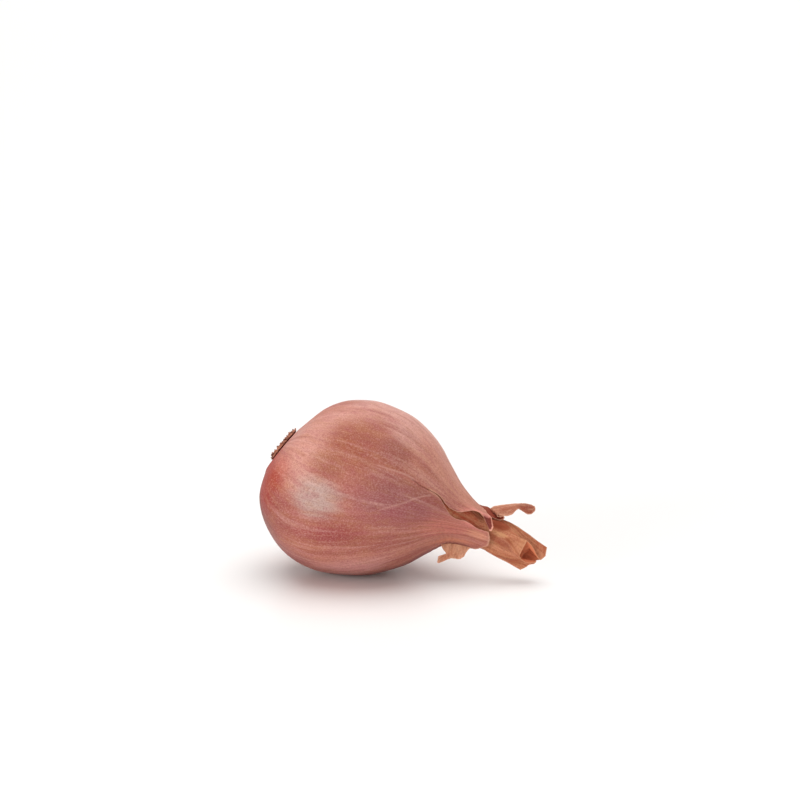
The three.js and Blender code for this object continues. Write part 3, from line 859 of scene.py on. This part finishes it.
# Dry outer skin of a copper-pink shallot: cured paper over firm flesh. It gives a dull satin
# sheen broken by fine cells, and veins that run from root to neck.
outerLook = {
    "name": "dry copper-pink shallot skin",
    "pale": "#b97767", "deep": "#a45f52", "vein": "#8a443c", "paleVein": "#d3a294",
    "cellLight": "#dcb6aa", "cellDark": "#7d4038", "seam": "#d6a898", "film": "#9c6c64",
    "edge": "#d9a48a", "within": "#94442c", "hollowShade": "#651c10",
    "widths": (4.2, 2, 0.95, 0.42, 1.5, 0.32),
    "bandShare": 0.26, "veinShare": 0.2, "lightShare": 0.225, "darkShare": 0.39,
    "mottleShare": 0.28, "tan": "#ad7350", "rose": "#a1545a",
    "edgeShare": 0.6, "grainRadius": skin["grainRadius"],
    "roughness": 0.44,
    # Zones: [name, distance along, angle, reach along, reach round, colour, strength]
    "zones": [
        ("copper back", 20, 235, 22, 20, "#b0654a", 0.75),
        ("ruddy root back", 1, 205, 12, 22, "#8a3d30", 0.75),
        ("rose back", 36, 292, 16, 9, "#a2564e", 0.6),
        ("copper underside", 24, 196, 20, 12, "#ad6353", 0.6),
        ("soft shoulder", 7, 46, 10, 19, "#cc9486", 0.85),
        ("warm shoulder", 16, 17, 9, 7, "#d5998a", 0.7),
        ("pink crown", 28, 352, 20, 13, "#dba497", 0.95),
        ("pale crown", 33, 21, 7, 6, "#d9a79c", 0.6),
        ("ruddy root top", 3, 358, 9, 9, "#b0604f", 0.75),
        ("light upper lip", 47, 16, 16, 14, "#cd8f7b", 0.85),
        ("tan cheek", 19.5, 43, 13, 10, "#9c563f", 0.85),
        # Painted shade: a darker rose patch above the crack.
        ("painted shade above the crack", 31, 38, 6, 4.5, "#8f5248", 0.6),
        ("tan below the cheek", 15, 64, 7, 4.5, "#9b5f49", 0.7),
        ("mauve cheek", 35, 77, 15, 8.5, "#9b565b", 0.85),
        # Dull grey-pink cheek: partly the skin's own colour, partly a painted highlight that whitens
        # it.
        ("cheek with painted highlight", 16, 84.5, 8, 5.8, "#b69a91", 0.95),
        ("ruddy side", 8, 108, 9, 9, "#8f483e", 0.85),
        # Red at the root side: partly the skin's own red, partly a painted red reflection.
        ("red root side with painted reflection", 0, 107, 9.5, 14, "#82180f", 0.95),
        # Painted shade: dark red under the root end.
        ("painted shade on the root underside", 4, 143, 10, 12, "#5c1812", 0.8),
        # Orange at the root side: partly the skin's own colour, partly a painted reflection.
        ("orange root side with painted reflection", 1, 87, 7, 6.5, "#ad4c34", 0.6),
        ("pink root spot", 3, 77, 3.4, 2.6, "#d0897b", 0.5),
        ("shaded root belly", 9, 155, 10, 9, "#6a2a23", 0.7),
        ("rose belly", 22, 106, 11, 3.8, "#974643", 0.8),
        ("tan band below", 16, 118, 8, 3.2, "#a45e49", 0.6),
        ("dull band below", 21, 142, 6, 3, "#a05c53", 0.5),
        ("shaded neck belly", 43, 173, 6, 3.2, "#6c3a36", 0.8),
        ("dull root belly", 14, 138, 8, 6, "#8a4b48", 0.7),
        ("light belly", 28, 146, 11, 7, "#cf918b", 0.9),
        ("dull neck side", 42, 172, 8, 5, "#7d4340", 0.85),
        ("copper neck", 48, 101, 8, 13, "#cf7b6c", 0.8),
        ("copper lip", 55, 56, 6.5, 13, "#f0958a", 0.9),
        ("tan under the neck", 50, 148, 7, 5.5, "#d58a6e", 0.85),
        ("tan lower lip", 55.5, 104, 3.6, 8, "#dd9678", 0.8),
    ],
    # The same for marks that cover the veins: a stain with a painted reflection, and painted shade.
    "stainsAndPaintedLight": [
        # Partly a real ruddy stain, partly a painted red reflection.
        ("ruddy root stain with painted reflection", 0, 103, 8, 14, "#9c2814", 0.6),
        # Painted shade below the root end.
        ("painted shade below the root end", 4, 145, 10, 14, "#5c1710", 0.35),
        ("shade under the belly", 24, 166, 20, 6, "#763934", 0.5),
    ],
}
# Inner skin: dry paper that lay under the outer one. It gives a matt tan face with strong veins
# along the tube, and painted shade, dark orange, where its folds turn in.
innerLook = {
    "name": "dry tan inner skin",
    "pale": "#c58263", "deep": "#ae6245", "vein": "#84402a", "paleVein": "#d89e76",
    "cellLight": "#dcae8a", "cellDark": "#7d3b22", "seam": "#dcaa7c", "film": "#b06840",
    "edge": "#d9a27c", "within": "#cf7450", "hollowShade": "#94462c",
    "widths": (2.2, 1.2, 0.7, 0.3, 1.3, 0.34),
    "bandShare": 0.35, "veinShare": 0.45, "lightShare": 0.165, "darkShare": 0.286,
    "mottleShare": 0.25, "tan": "#d09a68", "rose": "#a4583c",
    "edgeShare": 0.45, "grainRadius": sheath["grainRadius"],
    "roughness": 0.58,
    "zones": [
        ("inside the tear", 4, 56, 8, 4.6, "#a4452f", 0.95),
        ("shade at the lip", 12.9, 36, 2.6, 2, "#8a3522", 0.9),
        ("orange top", 15, 5, 3.2, 1.7, "#a85a3c", 0.7),
        # Painted highlight along the ridge of a fold.
        ("painted highlight on the ridge", 15.5, 68, 2.6, 1, "#dba878", 0.6),
        # Pinkish facet below the ridge, made darker by painted shade.
        ("pink patch with painted shade", 16.8, 86, 3.2, 2.1, "#9c5947", 0.85),
        ("ruddy lower side", 19.5, 146, 7, 2.6, "#a4573c", 0.8),
    ],
    "stainsAndPaintedLight": [],
}
# Curled skin: one brittle layer rolled up by drying. It gives thin pale edges round a dark hollow of
# painted shade.
curlLook = {
    "name": "dry curled skin",
    "pale": "#ad705a", "deep": "#985843", "vein": "#7c3824", "paleVein": "#e4b696",
    "cellLight": "#e4bea4", "cellDark": "#8a4a34", "seam": "#e4b696", "film": "#bc7353",
    "edge": "#dba98c", "within": "#9a4e38", "hollowShade": "#86301e",
    "widths": (1.6, 1.2, 0.6, 0.28, 1.1, 0.32),
    "bandShare": 0.3, "veinShare": 0.3, "lightShare": 0.15, "darkShare": 0.26,
    "mottleShare": 0.25, "tan": "#d8a47e", "rose": "#ab5f46",
    "edgeShare": 0.6, "grainRadius": strip["grainRadius"],
    "roughness": 0.55,
    "zones": [("ruddy tip", 17, 90, 3.4, 3, "#7f3a2b", 0.85)],
    "stainsAndPaintedLight": [],
}
# Torn scrap: a loose flake with its bare side out. It gives a flat, pale peach patch.
flapLook = dict(
    curlLook, name="torn scrap of dry skin", zones=[],
    pale="#dba384", deep="#c58364", within="#b57a60", hollowShade="#a86a50",
)

# Noises of the skins, in the order of their widths: [stretch, seed, detail, roughness].
paperNoise = {
    "broad": (7, 1, 3, 0.5), "band": (9, 3, 2, 0.5), "vein": (13, 4, 3, 0.6),
    "fine": (15, 7, 2, 0.6), "mottle": (2.6, 5, 2, 0.6), "cell": (1.15, 2, 2, 0.6),
}
# Colours laid over one another: [colour, what it follows, where it starts and is full, share].
veinLayers = (
    ("film", "film", 0, 1, 0.3),
    ("tan", "mottle", 0.5, 0.66, "mottleShare"), ("rose", "mottle", 0.5, 0.34, "mottleShare"),
    ("vein", "band", 0.52, 0.7, "bandShare"), ("paleVein", "band", 0.47, 0.3, "bandShare"),
    ("vein", "vein", 0.54, 0.72, "veinShare"), ("paleVein", "vein", 0.45, 0.3, "veinShare"),
    ("vein", "fine", 0.55, 0.74, "veinShare"),
)
edgeLayers = (
    ("cellLight", "cell", 0.48, 0.7, "lightShare"),
    ("cellDark", "cell", 0.52, 0.3, "darkShare"),
    # hollowShade lays painted shade into dents, folds and the lip's folded-in corner.
    ("seam", "seam", 0.1, 1, 0.36), ("hollowShade", "hollowShade", 0.2, 1, 0.85),
    ("within", "within", 0.4, 0.6, 0.8), ("edge", "tornEdge", 0.35, 1, "edgeShare"),
)
# Relief in metres, as [strength, height], and how far the cells move the roughness.
paperRelief = {"ridges": (0.6, 0.00006), "pits": (1, 0.00008), "sheen": (-0.07, 0.1)}


def paintZones(tree, colour, grain, streak, look, group):
    radius = look["grainRadius"]
    for name, along, angle, reachAlong, reachRound, zoneColour, strength in look[group]:
        turn = math.radians(angle)
        place = addNode(tree, "Mapping", {
            "Vector": grain, "Location": (radius * math.cos(turn), radius * math.sin(turn), along),
            "Rotation": (0, 0, turn), "Scale": (radius * 1.4, reachRound, reachAlong),
        }, vector_type="TEXTURE", label=name)
        reach = addNode(tree, "VectorMath", {0: place}, operation="LENGTH")
        broken = addNode(tree, "Math", {
            0: reach.outputs["Value"], 1: streak,
        }, operation="ADD")
        weight = mapRange(tree, broken, 0.3, 1.1, strength, 0)
        colour = mixColours(tree, colour, zoneColour, weight)
    return colour


def layColours(tree, colour, fields, look, layers):
    for name, field, start, full, share in layers:
        weight = mapRange(tree, fields[field], start, full, 0, look.get(share, share))
        colour = mixColours(tree, colour, look[name], weight)
    return colour


def paperSkinMaterial(look):
    material, tree = newMaterial(look["name"])
    grain = readAttribute(tree, "grain", "Vector")
    fields = {name: readAttribute(tree, name)
              for name in ("tornEdge", "within", "hollowShade", "seam", "film")}
    for (name, settings), width in zip(paperNoise.items(), look["widths"]):
        fields[name] = grainNoise(tree, grain, width, *settings)

    # The bands also break up the borders of the painted zones.
    streak = mapRange(tree, fields["band"], 0.3, 0.7, -0.16, 0.16, "LINEAR")
    broad = mapRange(tree, fields["broad"], 0.35, 0.65)
    colour = mixColours(tree, look["pale"], look["deep"], broad)
    colour = paintZones(tree, colour, grain, streak, look, "zones")
    colour = layColours(tree, colour, fields, look, veinLayers)
    colour = paintZones(tree, colour, grain, streak, look, "stainsAndPaintedLight")
    colour = layColours(tree, colour, fields, look, edgeLayers)

    smoother, rougher = (look["roughness"] + change for change in paperRelief["sheen"])
    rough = mapRange(tree, fields["cell"], 0.3, 0.7, smoother, rougher, "LINEAR")
    height = addNode(tree, "Math", {0: fields["vein"], 1: fields["fine"]}, operation="ADD")
    ridges = addBump(tree, height, *paperRelief["ridges"])
    pits = addBump(tree, fields["cell"], *paperRelief["pits"], Normal=ridges)
    finishMaterial(tree, {
        "Base Color": colour, "Roughness": rough, "Specular IOR Level": 0.15, "Normal": pits,
    })
    return material


# Dried root plate: corky, fibrous and matt. It gives broken light fibres over dark pits.
rootLook = {
    "name": "dried fibrous root",
    # gapShade is painted shade in the gap where the plate meets the skin.
    "dark": "#54271a", "light": "#a4654c", "fibre": "#cc9378", "gapShade": "#641a0e",
    "lumps": (900, 4), "fibres": (3200, 2),  # [number in a metre, detail]
    "fibreShare": 0.6, "roughness": 0.85, "relief": (0.7, 0.0001),
}


def driedRootMaterial():
    material, tree = newMaterial(rootLook["name"])
    place = addNode(tree, "TexCoord").outputs["Object"]
    lumps, fibres = (
        addNode(tree, "TexNoise", {"Vector": place, "Scale": scale, "Detail": detail})
        for scale, detail in (rootLook["lumps"], rootLook["fibres"]))
    colour = mixColours(tree, rootLook["dark"], rootLook["light"], mapRange(tree, lumps, 0.36, 0.6))
    lit = mapRange(tree, fibres, 0.5, 0.7, 0, rootLook["fibreShare"])
    colour = mixColours(tree, colour, rootLook["fibre"], lit)
    colour = mixColours(tree, colour, rootLook["gapShade"], readAttribute(tree, "gapShade"))
    finishMaterial(tree, {
        "Base Color": colour, "Roughness": rootLook["roughness"],
        "Normal": addBump(tree, fibres, *rootLook["relief"]),
    })
    return material


# Assembly.

rootMaterial = driedRootMaterial()
for piece, material, node, slotName in (
    (buildOuterSkin(), paperSkinMaterial(outerLook), "bulb", "outer_skin"),
    (buildSkinFlap(), paperSkinMaterial(flapLook), "bulb", "outer_skin"),
    (buildNeckSheath(), paperSkinMaterial(innerLook), "neck_sheath", "inner_skin"),
    (buildCurledStrip(), paperSkinMaterial(curlLook), "curled_strip", "curled_skin"),
    (buildRootPlate(rootMaterial), rootMaterial, "root_plate", "dried_root"),
):
    piece.data.materials.clear()
    piece.data.materials.append(material)
    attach(piece, "root")
    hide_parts(node)
print("pieces are on the frame")


# Floor, light and camera.

# The floor is smooth white board: it gives a bright ground with a soft, faint mirror image.
stage = {
    "floorColour": "#f8f6f4", "floorRoughness": 0.28,
    "floorCorners": ((-4, -4, 0), (4, -4, 0), (4, 8, 0), (-4, 8, 0)),
    "backdrop": 1.34, "ceiling": 0.4, "backdropTop": 0.34,  # brightness, and sine of its top edge
    "shadeSide": (-0.98, 0.2, 0), "shadeLevel": 0.2,  # a dark screen beside the root end
    "skyPower": 2.5, "skyAngle": 70, "skyPlace": (0, 0.15, 1),  # wide overhead softbox
    "frontPower": 2.6, "frontSize": 0.34, "frontPlace": (-0.5, -0.55, 0.2),
    "aim": (0, 0, 0.02),
}
view = {
    "lens": 100, "sensor": 36, "nearest": 0.01,
    "place": (0.12491, -0.53689, 0.16944), "tilt": 77.3, "turn": 12,
}


def buildFloor():
    mesh = bpy.data.meshes.new("floor")
    mesh.from_pydata(stage["floorCorners"], [], [(0, 1, 2, 3)])
    material, tree = newMaterial("white satin board")
    finishMaterial(tree, {
        "Base Color": linearColour(stage["floorColour"]),
        "Roughness": stage["floorRoughness"], "IOR": 1.5,
    })
    mesh.materials.append(material)
    floor = addToScene("floor", mesh)


def buildBackdrop():
    world = bpy.data.worlds.new("white studio")
    world.use_nodes = True
    tree = world.node_tree
    tree.nodes.clear()
    place = addNode(tree, "TexCoord").outputs["Generated"]
    direction = addNode(tree, "SeparateXYZ", {0: place})
    brightness = mapRange(tree, direction.outputs["Z"], 0, stage["backdropTop"],
                          stage["backdrop"], stage["ceiling"])
    side = addNode(tree, "VectorMath", {
        0: place, 1: stage["shadeSide"],
    }, operation="DOT_PRODUCT").outputs["Value"]
    shade = mapRange(tree, side, 0.5, 0.95, 1, stage["shadeLevel"])
    level = addNode(tree, "Math", {0: brightness, 1: shade}, operation="MULTIPLY")
    glow = addNode(tree, "Background", {"Color": (1, 1, 1, 1), "Strength": level})
    addNode(tree, "OutputWorld", {"Surface": glow})
    bpy.context.scene.world = world
    bpy.context.scene.view_settings.view_transform = "Standard"


def addLamp(name, kind, aim, axis, **settings):
    light = bpy.data.lights.new(name, kind)
    for key, value in settings.items():
        setattr(light, key, value)
    lamp = addToScene(name, light)
    lamp.rotation_euler = Vector(aim).to_track_quat(axis, "Y").to_euler()
    return lamp


def buildLights():
    addLamp("overheadSoftbox", "SUN", stage["skyPlace"], "Z",
            energy=stage["skyPower"], angle=math.radians(stage["skyAngle"]))
    aim = np.subtract(stage["aim"], stage["frontPlace"])
    front = addLamp("frontSoftbox", "AREA", aim, "-Z", shape="DISK",
                    size=stage["frontSize"], energy=stage["frontPower"])
    front.location = stage["frontPlace"]


def placeCamera():
    data = bpy.data.cameras.new("camera")
    data.lens = view["lens"]
    data.sensor_width = view["sensor"]
    data.clip_start = view["nearest"]
    camera = addToScene("camera", data)
    camera.location = view["place"]
    tilt, turn = math.radians(view["tilt"]), math.radians(view["turn"])
    camera.rotation_euler = (tilt, 0, turn)
    bpy.context.scene.camera = camera


buildFloor()
buildBackdrop()
buildLights()
placeCamera()
print("floor, light and camera are set")
